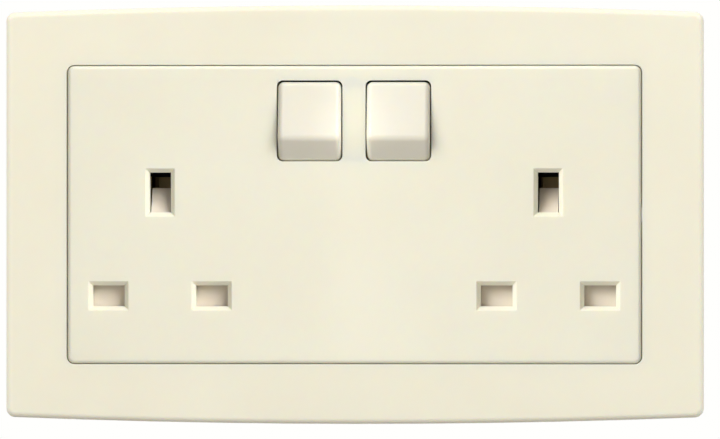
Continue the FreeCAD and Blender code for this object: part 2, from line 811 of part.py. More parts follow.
def make_rear_housing():
    body = new_body("rear_housing")
    sketch = front_sketch(body, -housing_deep)
    polygon(sketch, housing_points(size(0)))
    pad(body, sketch, housing_deep)
    corners = []
    for end in SIDES:
        found = edges_within(body, z=housing_half_tall * end)
        corners += along(body, found, DEPTH_WAY)
    fillet(body, corners, S.housing_corner)
    sketch = front_sketch(body, floor_height)
    polygon(sketch, housing_points(S.housing_wall))
    pocket(body, sketch, -floor_height)

    # Square screw pillars in the corners, meeting the chassis bosses, sunk behind for the screw heads.
    sketch = front_sketch(body, floor_height - S.housing_wall / 2)
    for place in pillar_places():
        centred_outline(sketch, place, S.pillar_half * 2, S.pillar_half * 2)
    pad(body, sketch, -S.boss_tall - floor_height + S.housing_wall / 2)
    sketch = front_sketch(body, -housing_deep)
    for place in pillar_places():
        circle(sketch, place, S.screw_radius + S.screw_hole_play)
    pocket(body, sketch, housing_deep - S.boss_tall)
    sketch = front_sketch(body, -housing_deep)
    for place in pillar_places():
        sunk = (S.screw_head_radius + S.pilot_play) * 2
        centred_outline(sketch, place, sunk, sunk)
    pocket(body, sketch, S.screw_head_thick)

    # Ribs and posts that carry the brass strips at their two levels.
    post = S.housing_wall
    live_posts = [
        (left_column, (S.earth_up + run_high) / 2),
        (left_column, (S.earth_up + flat_up) / 2),
        (right_column, (S.earth_up + run_high) / 2),
        (right_column, (S.earth_up + flat_up) / 2),
        (flat_pins(1)[1], flat_up),
        (flat_pins(-1)[0], flat_up),
        (flat_pins(1)[0], flat_up),
        (-S.switch_across, S.switch_up),
        (S.switch_across, S.switch_up),
        (-S.switch_across, S.switch_up + S.pad_up),
        (S.switch_across, S.switch_up + S.pad_up),
    ]
    sketch = front_sketch(body, floor_height - S.housing_wall / 2)
    for middle in live_posts:
        centred_outline(sketch, middle, post, post)
    pad(body, sketch, live_back - floor_height + S.housing_wall / 2)
    sketch = front_sketch(body, floor_height - S.housing_wall / 2)
    for x in (-S.socket_across, -S.terminal_pitch, S.terminal_pitch, S.socket_across):
        centred_outline(sketch, (x, S.earth_up), post, post * 2)
    pad(body, sketch, earth_back - floor_height + S.housing_wall / 2)

    # Barriers between the terminals.
    sketch = front_sketch(body, floor_height - S.housing_wall / 2)
    inner_low = -(housing_half_tall - S.housing_wall / 2)
    for count in (-2, -1, 0, 1, 2):
        x = S.terminal_pitch * count
        box_outline(sketch, (x - S.barrier_thick / 2, inner_low),
                    (x + S.barrier_thick / 2, -S.terminal_top))
    pad(body, sketch, live_back - S.barrier_gap - floor_height + S.housing_wall / 2)

    # Openings for the cables below and for the terminal screws behind.
    sketch = plan_sketch(body, -housing_half_tall)
    for name, x in terminal_places():
        centred_outline(sketch, (x, -cable_height), S.cable_mouth, S.cable_mouth)
    pocket(body, sketch, S.housing_wall)
    sketch = front_sketch(body, -housing_deep)
    for name, x in terminal_places():
        circle(sketch, (x, -S.terminal_top - S.terminal_tall / 2), S.terminal_head_radius + S.head_play)
    pocket(body, sketch, S.housing_wall)
    return body


def swing_radius():
    """Radius of the rocker's lower end about its hinge, clear of the window's lip."""
    reach = S.window_tall / 2 - S.rocker_swept_gap
    lip = S.hinge_deep - S.window_lip
    return root(reach * reach + lip * lip)


def rocker_profile(sketch):
    """Main face, ridge, lower facet and the round lower end, drawn about the hinge."""
    top = rocker_top - S.switch_up
    front = -S.hinge_deep - S.rocker_top_proud
    ridge = -S.hinge_deep - S.ridge_proud
    back = S.rocker_back - S.hinge_deep
    radius = swing_radius()
    lower_front = S.facet_sunk - S.hinge_deep
    lower_z = -root(radius * radius - lower_front * lower_front)
    back_z = -root(radius * radius - back * back)
    points = [(back, back_z), (back, top), (front, top), (ridge, -S.ridge_down), (lower_front, lower_z)]
    spots = [FreeCAD.Vector(a.value, b.value, 0) for a, b in points]
    count = len(points)
    first = sketch.GeometryCount
    lines = [Part.LineSegment(spots[i], spots[i + 1]) for i in range(count - 1)]
    middle = (spots[-1] + spots[0]).normalize() * radius.value
    lines.append(Part.Arc(spots[-1], middle, spots[0]))
    sketch.addGeometry(lines, False)
    rules = []
    for i in range(count):
        after = first + (i + 1) % count
        rules.append((Sketcher.Constraint("Coincident", first + i, 2, after, 1), None))
        if i < count - 1:
            place_point(rules, first + i, 1, points[i])
    place_point(rules, first + count - 1, 3, (0, 0))
    lower = size(lower_front)
    rules.append((Sketcher.Constraint("DistanceX", -1, 1, first + count - 1, 1, lower.value), lower.text))
    constrain(sketch, rules)


def make_rocker(name, side):
    body = new_body(name)
    x = S.switch_across * side
    low = x - rocker_half_wide
    sketch = side_sketch(body, low, hinge_height, S.switch_up)
    rocker_profile(sketch)
    pad(body, sketch, rocker_half_wide * 2)
    ridge = face_height + S.ridge_proud
    fillet(body, edges_within(body, height=ridge), S.ridge_round)
    ends = along(body, edges_within(body), DEPTH_WAY)
    for end in SIDES:
        flank = x + rocker_half_wide * end
        ends += edges_within(body, x=flank, height=(0, face_height - S.facet_sunk),
                             z=(S.switch_up - swing_radius(), S.switch_up - S.window_tall / 2
                                + rocker_corner))
    fillet(body, ends, rocker_corner)
    rim = edges_within(body, height=(face_height - S.facet_sunk, ridge))
    fillet(body, rim, S.rocker_side_round)

    # Hollow behind, with a tilted stem on the hinge line and two trunnions.
    back = face_height - S.rocker_back
    sketch = front_sketch(body, back)
    wall = S.rocker_wall
    centred_outline(sketch, (x, S.switch_up), rocker_half_wide * 2 - wall * 2,
                    S.window_tall - S.rocker_end_gap * 2 - wall * 2)
    pocket(body, sketch, S.rocker_back - wall)
    sketch = side_sketch(body, x, hinge_height, S.switch_up, -S.rest_tilt)
    start = -S.hinge_deep + wall / 2
    box_outline(sketch, (start, 0), (S.stem_long, S.stem_radius))
    revolve(body, sketch)
    sketch = side_sketch(body, x, hinge_height, S.switch_up, -S.rest_tilt)
    box_outline(sketch, (S.bore_start, 0), (S.stem_long, S.bore_radius))
    groove(body, sketch)
    for end in SIDES:
        if end < 0:
            start_x = low - S.trunnion_long
        else:
            start_x = x + rocker_half_wide - wall
        sketch = side_sketch(body, start_x)
        circle(sketch, (-hinge_height, S.switch_up), S.trunnion_radius)
        pad(body, sketch, S.trunnion_long + wall)

    pocket(body, flash_sketch(body, x), S.flash_wide)
    return body


def flash_sketch(body, x):
    """Side view of the coloured strip in the rocker's top end, its front end sloped to the round."""
    sketch = side_sketch(body, x - S.flash_wide / 2)
    back, front = S.flash_back - face_height, S.flash_front - face_height
    low = rocker_top - S.flash_thick
    polygon(sketch, [(back, low), (back, rocker_top), (front + S.flash_thick, rocker_top), (front, low)])
    return sketch


def make_flash(name, side):
    body = new_body(name)
    pad(body, flash_sketch(body, S.switch_across * side), S.flash_wide)
    return body


def make_plunger(name, side):
    body = new_body(name)
    x = S.switch_across * side
    sketch = side_sketch(body, x, hinge_height, S.switch_up, -S.rest_tilt)
    radius = S.plunger_radius
    tip = S.plunger_reach - radius
    points = [(S.plunger_tail, 0), (S.plunger_tail, radius)]
    for step in range(TIP_STEPS + 1):
        angle = math.pi / 2 * (1 - step / TIP_STEPS)
        points.append((tip + radius * math.cos(angle), radius * math.sin(angle) * (step < TIP_STEPS)))
    polygon(sketch, points)
    revolve(body, sketch)
    return body


def coil(name, mean, wire, length, turns, placement):
    """A helical spring along its own z axis, from z = 0 to its length."""
    count = turns * COIL_STEPS
    rise = (length - wire) / count
    wires = []
    for i in range(count + 1):
        angle = 2 * math.pi * i / COIL_STEPS
        out = FreeCAD.Vector(math.cos(angle), math.sin(angle), 0)
        middle = out * mean + FreeCAD.Vector(0, 0, wire / 2 + rise * i)
        ring = []
        for k in range(WIRE_SIDES):
            around = 2 * math.pi * k / WIRE_SIDES
            up = FreeCAD.Vector(0, 0, math.sin(around) * wire / 2)
            ring.append(middle + out * (math.cos(around) * wire / 2) + up)
        wires.append(Part.makePolygon(ring + ring[:1]))
    made = doc.addObject("Part::Feature", name)
    made.Label = name
    made.Shape = Part.makeLoft(wires, True, True)
    made.Placement = placement
    return made


def make_rocker_spring(name, side):
    length = (S.plunger_tail - S.bore_start).value
    stem = FreeCAD.Rotation(ACROSS_WAY, -90 - S.rest_tilt.value)
    hinge = FreeCAD.Vector((S.switch_across * side).value, -hinge_height.value, S.switch_up.value)
    start = hinge + stem.multVec(FreeCAD.Vector(0, 0, S.bore_start.value))
    return coil(name, S.spring_mean.value, S.spring_wire.value, length, ROCKER_SPRING_TURNS,
                FreeCAD.Placement(start, stem))


def make_shutter_spring(name, side):
    length = (S.peg_top - S.spring_room_top).value
    middle = ((shutter_back + shutter_front) / 2).value
    start = FreeCAD.Vector(socket_x(side).value, -middle, -S.peg_top.value)
    return coil(name, S.shutter_spring_mean.value, S.shutter_spring_wire.value, length,
                SHUTTER_SPRING_TURNS, FreeCAD.Placement(start, FreeCAD.Rotation()))


def see_saw_sketch(body, x):
    return side_sketch(body, x, pivot_height, S.switch_up, S.see_saw_tilt)


def make_see_saw(name, side):
    body = new_body(name)
    low = S.switch_across * side - S.see_saw_wide / 2
    sketch = see_saw_sketch(body, low)
    circle(sketch, (0, 0), S.knuckle_radius)
    pad(body, sketch, S.see_saw_wide)
    # The knuckle is pressed out of the bar's back only.
    sketch = see_saw_sketch(body, low)
    box_outline(sketch, (-S.knuckle_radius * 2, -S.knuckle_radius * 2), (0, S.knuckle_radius * 2))
    pocket(body, sketch, S.see_saw_wide, forward=True)
    sketch = see_saw_sketch(body, low)
    centred_outline(sketch, (0, 0), S.see_saw_thick, S.see_saw_half * 2)
    pad(body, sketch, S.see_saw_wide)
    return body


def make_moving_contact(name, side):
    """A square silver pad on the back of the see-saw's upper end."""
    body = new_body(name)
    back = S.see_saw_thick / 2
    sketch = see_saw_sketch(body, S.switch_across * side - S.pad_half)
    box_outline(sketch, (back, S.pad_up - S.pad_half), (back + S.pad_thick, S.pad_up + S.pad_half))
    pad(body, sketch, S.pad_half * 2)
    return body


def make_fixed_contact(name, side):
    body = new_body(name)
    sketch = front_sketch(body, live_front)
    middle = (S.switch_across * side, S.switch_up + S.pad_up)
    centred_outline(sketch, middle, S.pad_half * 2, S.pad_half * 2)
    pad(body, sketch, S.fixed_pad_thick)
    return body


def flat_jaw(body, x, base_back):
    """Two leaves over and under a flat pin, joined behind and flared at the mouth."""
    half, leaf, front = S.flat_pin_thick / 2, S.leaf_thick, S.jaw_front
    base = -base_back
    grip = front + S.jaw_mouth * 2
    sketch = side_sketch(body, x - S.jaw_wide / 2, 0, flat_up)
    mouth = half + S.jaw_mouth
    polygon(sketch, [
        (base, -half - leaf), (grip, -half - leaf), (front, -mouth - leaf), (front, -mouth),
        (grip, -half), (base - S.strip_thick, -half), (base - S.strip_thick, half), (grip, half),
        (front, mouth), (front, mouth + leaf), (grip, half + leaf), (base, half + leaf),
    ])
    pad(body, sketch, S.jaw_wide)


def earth_jaw(body, x):
    """Two leaves left and right of an earth pin, joined behind and flared at the mouth."""
    half, leaf, front = S.flat_pin_thick / 2, S.leaf_thick, S.earth_jaw_front
    base = -earth_back
    grip = front + S.jaw_mouth * 2
    mouth = half + S.jaw_mouth
    inner = base - S.strip_thick
    outline = [
        (-half - leaf, base), (-half - leaf, grip), (-mouth - leaf, front), (-mouth, front),
        (-half, grip), (-half, inner), (half, inner), (half, grip),
        (mouth, front), (mouth + leaf, front), (half + leaf, grip), (half + leaf, base),
    ]
    sketch = plan_sketch(body, S.earth_up - S.earth_jaw_tall / 2)
    polygon(sketch, [(x + a, b) for a, b in outline])
    pad(body, sketch, S.earth_jaw_tall)


def strip(body, back, outlines, thick=None):
    """Flat sheet pieces at one level, each given by its low and high corners."""
    for low, high in outlines:
        sketch = front_sketch(body, back)
        box_outline(sketch, low, high)
        pad(body, sketch, thick or S.strip_thick)


def make_live_strip(name, side):
    body = new_body(name)
    pin = flat_pins(side)[1]
    column = left_column if side < 0 else right_column
    low_run, half = run_high - S.run_wide, S.column_wide / 2
    tab = S.switch_across * side
    reach = column + half * side
    jaw_edge = flat_up + S.flat_pin_thick / 2 + S.leaf_thick
    pieces = [((tab - half, low_run), (tab + half, run_high))]
    if side < 0:
        pieces.append(((reach, low_run), (tab, run_high)))
    else:
        pieces.append(((tab, low_run), (reach, run_high)))
    pieces.append(((column - half, jaw_edge), (column + half, run_high)))
    base = S.jaw_wide / 2
    foot = ((pin - base, flat_up), (pin + base, jaw_edge + S.run_wide))
    if side > 0:
        foot = ((column - half, flat_up), (pin + base, jaw_edge + S.run_wide))
    pieces.append(foot)
    strip(body, live_back, pieces)
    flat_jaw(body, pin, live_back)
    return body


def make_live_bar():
    body = new_body("live_bar")
    half = S.live_bar_wide / 2
    x_live = dict(terminal_places())["live_terminal"]
    reach = S.switch_across + S.see_saw_wide / 2
    pieces = [
        ((-reach, S.switch_up - half), (x_live + S.column_wide / 2, S.switch_up + half)),
        ((x_live - S.column_wide / 2, terminal_low), (x_live + S.column_wide / 2, S.switch_up)),
        ((x_live - S.terminal_wide / 2, terminal_low), (x_live + S.terminal_wide / 2, -S.terminal_top)),
    ]
    strip(body, live_back, pieces)
    # Saddles with a round seat for each see-saw's knuckle.
    top = pivot_height - S.saddle_drop
    sketch = front_sketch(body, live_front - S.strip_thick / 2)
    for side in SIDES:
        middle = (S.switch_across * side, S.switch_up)
        centred_outline(sketch, middle, S.see_saw_wide, S.saddle_deep)
    pad(body, sketch, top - live_front + S.strip_thick / 2)
    sketch = side_sketch(body, -reach)
    circle(sketch, (-pivot_height, S.switch_up), S.knuckle_radius + S.knuckle_play)
    pocket(body, sketch, reach * 2)
    return body


def make_neutral_bar():
    body = new_body("neutral_bar")
    left, right = flat_pins(-1)[0], flat_pins(1)[0]
    base = S.jaw_wide / 2
    x_neutral = dict(terminal_places())["neutral_terminal"]
    pieces = [((left - base, neutral_low), (right + base, neutral_high))]
    for x in (left, right):
        pieces.append(((x - base, neutral_low), (x + base, flat_up)))
    pieces.append(((x_neutral - S.terminal_wide / 2, neutral_low),
                   (x_neutral + S.terminal_wide / 2, -S.terminal_top)))
    strip(body, live_back, pieces)
    for x in (left, right):
        flat_jaw(body, x, live_back)
    return body


def make_earth_bar():
    body = new_body("earth_bar")
    half = S.earth_bar_wide / 2
    reach = S.socket_across
    places = dict(terminal_places())
    left = places["earth_terminal_outer"] - S.terminal_wide / 2
    right = places["earth_terminal_inner"] + S.terminal_wide / 2
    step_low = -S.terminal_top + S.run_wide
    step_high = step_low + S.strip_thick
    strip(body, earth_back, [((-reach, S.earth_up - half), (reach, S.earth_up + half)),
                             ((left, step_low), (right, S.earth_up))])
    strip(body, live_back, [((left, terminal_low), (right, step_high))])
    strip(body, earth_back, [((left, step_low), (right, step_high))], live_front - earth_back)
    for side in SIDES:
        earth_jaw(body, S.socket_across * side)
    return body


def make_terminal(name, x):
    body = new_body(name)
    sketch = front_sketch(body, live_back - S.terminal_deep)
    middle_z = -S.terminal_top - S.terminal_tall / 2
    centred_outline(sketch, (x, middle_z), S.terminal_wide, S.terminal_tall)
    pad(body, sketch, S.terminal_deep)
    chamfer(body, along(body, edges_within(body), DEPTH_WAY), S.leaf_thick)
    sketch = plan_sketch(body, terminal_low)
    circle(sketch, (x, -cable_height), S.cable_radius)
    pocket(body, sketch, S.terminal_tall)
    sketch = front_sketch(body, live_back - S.terminal_deep)
    circle(sketch, (x, middle_z), S.terminal_screw_radius + S.pilot_play)
    pocket(body, sketch, S.terminal_deep - S.cable_deep)
    return body


def make_terminal_screw(name, x):
    body = new_body(name)
    middle = (x, -S.terminal_top - S.terminal_tall / 2)
    head_front = live_back - S.terminal_deep - S.seat_gap
    head_back = head_front - S.terminal_head_thick
    shank_front = cable_height - S.cable_radius - S.seat_gap
    sketch = front_sketch(body, head_back)
    circle(sketch, middle, S.terminal_head_radius)
    pad(body, sketch, S.terminal_head_thick)
    sketch = front_sketch(body, head_front)
    circle(sketch, middle, S.terminal_screw_radius)
    pad(body, sketch, shank_front - head_front)
    sketch = front_sketch(body, head_back)
    centred_outline(sketch, middle, S.terminal_head_radius * 2 + S.driver_slot,
                    S.driver_slot)
    pocket(body, sketch, S.terminal_head_thick / 2)
    return body


def make_assembly_screws():
    """Four like screws, seated in the housing's recesses and biting into the chassis bosses."""
    screws = []
    for x, z in pillar_places():
        middle = FreeCAD.Vector(x.value, housing_deep.value, z.value)
        forward = FreeCAD.Vector(0, -1, 0)
        thick = S.screw_head_thick.value
        head = Part.makeCylinder(S.screw_head_radius.value, thick, middle, forward)
        seat = middle + forward * thick
        length = (housing_deep - S.screw_head_thick + S.screw_bite).value
        shank = Part.makeCylinder(S.screw_radius.value, length, seat, forward)
        slot = S.driver_slot.value
        wide = (S.screw_head_radius * 2 + S.driver_slot).value
        corner = middle + FreeCAD.Vector(-wide / 2, -thick / 2, -slot / 2)
        screws.append(head.fuse(shank).cut(Part.makeBox(wide, thick, slot, corner)))
    made = doc.addObject("Part::Feature", "assembly_screws")
    made.Label = "assembly_screws"
    made.Shape = Part.makeCompound(screws)
    return made


def make_shutter(name, side):
    body = new_body(name)
    x = socket_x(side)
    flap_low = flat_up - S.flat_slot_tall / 2 - S.flap_under
    flap_high = flat_up + S.flat_slot_tall / 2 + S.flap_over
    ramp_low = S.earth_up - S.earth_slot_tall / 2
    ramp_top = S.earth_up + S.earth_slot_tall / 2 - S.ramp_gap
    wide, stem = S.flap_wide / 2, S.stem_wide / 2
    sketch = front_sketch(body, shutter_back)
    polygon(sketch, [
        (x - wide, flap_low), (x + wide, flap_low), (x + wide, flap_high), (x + stem, flap_high),
        (x + stem, ramp_low), (x - stem, ramp_low), (x - stem, flap_high), (x - wide, flap_high),
    ])
    pad(body, sketch, S.shutter_thick)

    # The ramp that the earth pin pushes down: just behind the face at its foot, deep at its top.
    deep = ramp_nose - S.ramp_deep
    ramp_wide = S.earth_slot_wide - S.shutter_play * 2
    sketch = side_sketch(body, x - ramp_wide / 2)
    polygon(sketch, [
        (-ramp_nose, ramp_low - S.ramp_foot), (-ramp_nose, ramp_low),
        (-deep, ramp_top), (S.ramp_back, ramp_top), (S.ramp_back, ramp_top - S.ramp_back),
        (-shutter_back, ramp_low - S.ramp_foot),
    ])
    pad(body, sketch, ramp_wide)
    sketch = front_sketch(body, shutter_back)
    box_outline(sketch, (x - S.spring_room_wide / 2, -S.spring_room_low),
                (x + S.spring_room_wide / 2, -S.spring_room_top))
    pocket(body, sketch, S.shutter_thick)
    return body


def make_all():
    parts = [make_outer_frame(), make_face_plate(), make_chassis(), make_rear_housing()]
    for word, side in (("left", -1), ("right", 1)):
        parts.append(make_rocker(f"rocker_{word}", side))
        parts.append(make_flash(f"on_flash_{word}", side))
        parts.append(make_plunger(f"plunger_{word}", side))
        parts.append(make_rocker_spring(f"rocker_spring_{word}", side))
        parts.append(make_see_saw(f"see_saw_{word}", side))
        parts.append(make_moving_contact(f"moving_contact_{word}", side))
        parts.append(make_fixed_contact(f"fixed_contact_{word}", side))
        parts.append(make_live_strip(f"live_strip_{word}", side))
        parts.append(make_shutter(f"shutter_{word}", side))
        parts.append(make_shutter_spring(f"shutter_spring_{word}", side))
    parts += [make_live_bar(), make_neutral_bar(), make_earth_bar()]
    for name, x in terminal_places():
        parts.append(make_terminal(name, x))
        parts.append(make_terminal_screw(name.replace("terminal", "screw"), x))
    parts.append(make_assembly_screws())
    return parts


def check(parts):
    doc.recompute()
    for thing in doc.Objects:
        if "Invalid" in thing.State or "Error" in thing.State:
            raise RuntimeError(f"{thing.Label} failed: {thing.State}")
    for part in parts:
        if part.Shape.isNull() or not part.Shape.isValid():
            raise RuntimeError(f"{part.Label} has no valid solid")


PARTS = make_all()
check(PARTS)
os.makedirs("parts", exist_ok=True)
for part in PARTS:
    part.Shape.exportStep(f"parts/{part.Label}.step")
    print(part.Label, round(part.Shape.Volume, 1), len(part.Shape.Solids))
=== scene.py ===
import json
import math

import bmesh
import bpy
from mathutils import Matrix, Vector


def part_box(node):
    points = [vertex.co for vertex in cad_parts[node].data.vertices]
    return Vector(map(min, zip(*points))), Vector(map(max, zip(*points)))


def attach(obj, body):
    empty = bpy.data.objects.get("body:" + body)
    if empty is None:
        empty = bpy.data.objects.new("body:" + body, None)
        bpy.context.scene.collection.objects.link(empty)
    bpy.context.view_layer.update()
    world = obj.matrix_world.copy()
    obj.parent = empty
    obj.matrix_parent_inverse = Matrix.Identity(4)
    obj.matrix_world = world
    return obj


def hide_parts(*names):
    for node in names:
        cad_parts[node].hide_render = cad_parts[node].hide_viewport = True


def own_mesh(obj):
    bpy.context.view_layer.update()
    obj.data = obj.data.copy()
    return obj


# Dressing of an ivory twin wall socket. Everything is in metres in the part's own frame:
# +X to the right, +Z up, the front faces -Y and the wall plane is y = 0.

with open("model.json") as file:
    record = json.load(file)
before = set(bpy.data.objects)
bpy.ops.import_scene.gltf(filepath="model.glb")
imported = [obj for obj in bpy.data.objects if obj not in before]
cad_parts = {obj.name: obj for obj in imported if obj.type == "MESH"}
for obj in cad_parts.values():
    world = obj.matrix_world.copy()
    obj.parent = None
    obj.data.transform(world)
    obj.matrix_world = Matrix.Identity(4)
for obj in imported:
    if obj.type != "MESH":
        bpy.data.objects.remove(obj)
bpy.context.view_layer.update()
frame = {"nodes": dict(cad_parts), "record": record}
NODES = frame["nodes"]
SIDES = ("left", "right")
MM = 0.001

ROCKERS = tuple(f"rocker_{word}" for word in SIDES)
SHUTTERS = tuple(f"shutter_{word}" for word in SIDES)
FLASHES = tuple(f"on_flash_{word}" for word in SIDES)
TERMINALS = ("earth_terminal_outer", "earth_terminal_inner", "neutral_terminal", "live_terminal")

# The frame's meshes: how near two corners are one, and from which angle an edge stays sharp.
WELD = 0.002 * MM
SHARP_ANGLE = math.radians(28)

# Springs. Switched off, a rocker leans by the rest tilt. Its spring starts in the stem, a short way
# from the hinge. The shutters' springs keep that share of their length when the shutters are down.
REST_TILT = math.radians(7)
SPRING_START = 1.6 * MM
ROCKER_SPRING_LENGTH = 6.0 * MM
ROCKER_SPRING = {"mean": 1.5 * MM, "wire": 0.15 * MM, "turns": 5.0}
SHUTTER_SPRING = {"mean": 0.85 * MM, "wire": 0.09 * MM, "turns": 6.0}
SPRING_STEPS = 32
SPRING_SIDES = 10

# Screw threads.
TERMINAL_THREAD = {"radius": 1.85 * MM, "ridge": 0.1 * MM, "pitch": 0.7 * MM, "head": 1.9 * MM}
HOUSING_THREAD = {"radius": 1.22 * MM, "ridge": 0.14 * MM, "pitch": 1.1 * MM, "head": 1.8 * MM}
THREAD_STEPS = 24
THREAD_SIDES = 5

# Letters for the conductors.
MARK_TALL = 3.4 * MM
MARK_PROUD = 0.15 * MM
MARK_BELOW = 6.2 * MM

# The photograph is a long-lens front view from slightly right of the middle.
VIEW_DISTANCE = 2.4
VIEW_TURN = math.radians(2.8)
VIEW_RISE = math.radians(-0.2)
CLIP_NEAR = 0.05
CLIP_FAR = 50
SENSOR = 36.0
IMAGE_WIDE = 720
PIXELS_PER_MM = 4.654
FRONT_HEIGHT = 9.9 * MM
AIM = Vector((1.3 * MM, -FRONT_HEIGHT, -1.05 * MM))

# Surround: white where the camera sees it, and a dim room in front and a brighter one behind for the light.
# The fill changes between these two depths of the direction it comes from.
BACKGROUND = 1.0
BACKGROUND_COLOUR = "#FFFFFD"
FILL_COLOUR = "#FFFAFA"
FRONT_FILL = 0.385
BACK_FILL = 0.75
FRONT_ENDS = -0.25
BACK_STARTS = 0.35

# Floor, with its own even light.
FLOOR_DROP = 0.16
FLOOR_RADIUS = 0.7
FLOOR_SIDES = 96
FLOOR_WASH = 1.6
WASH_ANGLE = math.radians(40)

# Two banks of lamps, high on both sides. For the insert and what is in it they are flagged at its middle,
# so that each lights the half that lies across from it. All else gets both banks without a flag.
BANK_AT = Vector((0.72, -0.92, 0.7))
BANK_RADIUS = 0.6
BANK_LAMPS = 24
BANK_POWER = 79.0
LAMP_RADIUS = 0.003
LAMP_COLOUR = (1.0, 0.99, 0.975)
GOLDEN_TURN = math.radians(137.508)
BEAM_HALF = math.radians(80)
BEAM_FADE = math.radians(0.5)
BEAM_ENDS_AT = 9.65 * MM
OPEN_HALF = math.radians(30)
OPEN_SHARE = 0.5
FLAGGED_NODES = ("face_plate",) + ROCKERS + FLASHES + SHUTTERS


def linear(hex_code):
    """An sRGB hex colour as linear RGBA."""
    parts = [int(hex_code[i:i + 2], 16) / 255 for i in (1, 3, 5)]
    return tuple(c / 12.92 if c <= 0.04045 else ((c + 0.055) / 1.055) ** 2.4 for c in parts) + (1.0,)


def add(tree, kind, inputs=None, **settings):
    """Adds a node, sets its settings, and fills or links its inputs."""
    made = tree.nodes.new(kind)
    for name, value in settings.items():
        setattr(made, name, value)
    for name, value in (inputs or {}).items():
        if isinstance(value, bpy.types.NodeSocket):
            tree.links.new(value, made.inputs[name])
        else:
            made.inputs[name].default_value = value
    return made


def new_material(name):
    """A material with an empty tree, its shader and the object coordinates."""
    made = bpy.data.materials.new(name)
    made.use_nodes = True
    tree = made.node_tree
    tree.nodes.clear()
    shader = add(tree, "ShaderNodeBsdfPrincipled")
    add(tree, "ShaderNodeOutputMaterial", {"Surface": shader.outputs["BSDF"]})
    place = add(tree, "ShaderNodeTexCoord").outputs["Object"]
    return made, tree, shader, place


def per_metre(feature_mm):
    """Noise scale whose features are about this many millimetres across."""
    return 1 / (feature_mm * MM)


def noise(tree, place, feature_mm, detail=2.0, rough=0.5):
    made = add(tree, "ShaderNodeTexNoise", {"Vector": place, "Scale": per_metre(feature_mm),
                                            "Detail": detail, "Roughness": rough})
    return made.outputs["Fac"]


def spread(tree, value, low, high, start=0.3, end=0.7):
    """Maps a noise value to a range."""
    made = add(tree, "ShaderNodeMapRange", {"Value": value, "From Min": start, "From Max": end,
                                            "To Min": low, "To Max": high})
    return made.outputs["Result"]


def between(tree, share, first, second):
    """A colour between two hex colours."""
    mixed = add(tree, "ShaderNodeMix", data_type="RGBA")
    for socket, value in ((mixed.inputs[6], linear(first)), (mixed.inputs[7], linear(second))):
        socket.default_value = value
    tree.links.new(share, mixed.inputs[0])
    return mixed.outputs[2]


def bumped(tree, shader, height, distance_mm):
    bump = add(tree, "ShaderNodeBump", {"Height": height, "Distance": distance_mm * MM, "Strength": 1.0})
    tree.links.new(bump.outputs["Normal"], shader.inputs["Normal"])


def moulded(name, colours, polish, ior, glow=0.0, glow_mm=0.0, grain_mm=0.5, grain_deep=0.0015):
    """Moulded plastic: faint clouding from the flow, uneven polish and the fine grain of the tool.

    The polish is the lowest and highest roughness, and the glow is the share of light that passes under
    the surface, deepest at the red end."""
    made, tree, shader, place = new_material(name)
    cloud = spread(tree, noise(tree, place, 28, detail=3), 0, 1)
    tree.links.new(between(tree, cloud, *colours), shader.inputs["Base Color"])
    uneven = spread(tree, noise(tree, place, 6, detail=4, rough=0.6), *polish)
    tree.links.new(uneven, shader.inputs["Roughness"])
    shader.inputs["IOR"].default_value = ior
    if glow:
        shader.inputs["Subsurface Weight"].default_value = glow
        shader.inputs["Subsurface Radius"].default_value = (1.0, 0.8, 0.5)
        shader.inputs["Subsurface Scale"].default_value = glow_mm * MM
    bumped(tree, shader, noise(tree, place, grain_mm), grain_deep)
    return made


def metal(name, colours, polish, mark_mm, mark_deep, stretch=(1.0, 1.0, 1.0)):
    """Metal with a cloudy tarnish, and marks that are drawn out along one axis where rolling leaves them."""
    made, tree, shader, place = new_material(name)
    drawn = add(tree, "ShaderNodeMapping", {"Vector": place, "Scale": stretch}).outputs["Vector"]
    marks = noise(tree, drawn, mark_mm, detail=4, rough=0.6)
    tarnish = spread(tree, noise(tree, place, 5, detail=3), 0, 1)
    tree.links.new(between(tree, tarnish, *colours), shader.inputs["Base Color"])
    tree.links.new(spread(tree, marks, *polish), shader.inputs["Roughness"])
    shader.inputs["Metallic"].default_value = 1.0
    bumped(tree, shader, marks, mark_deep)
    return made


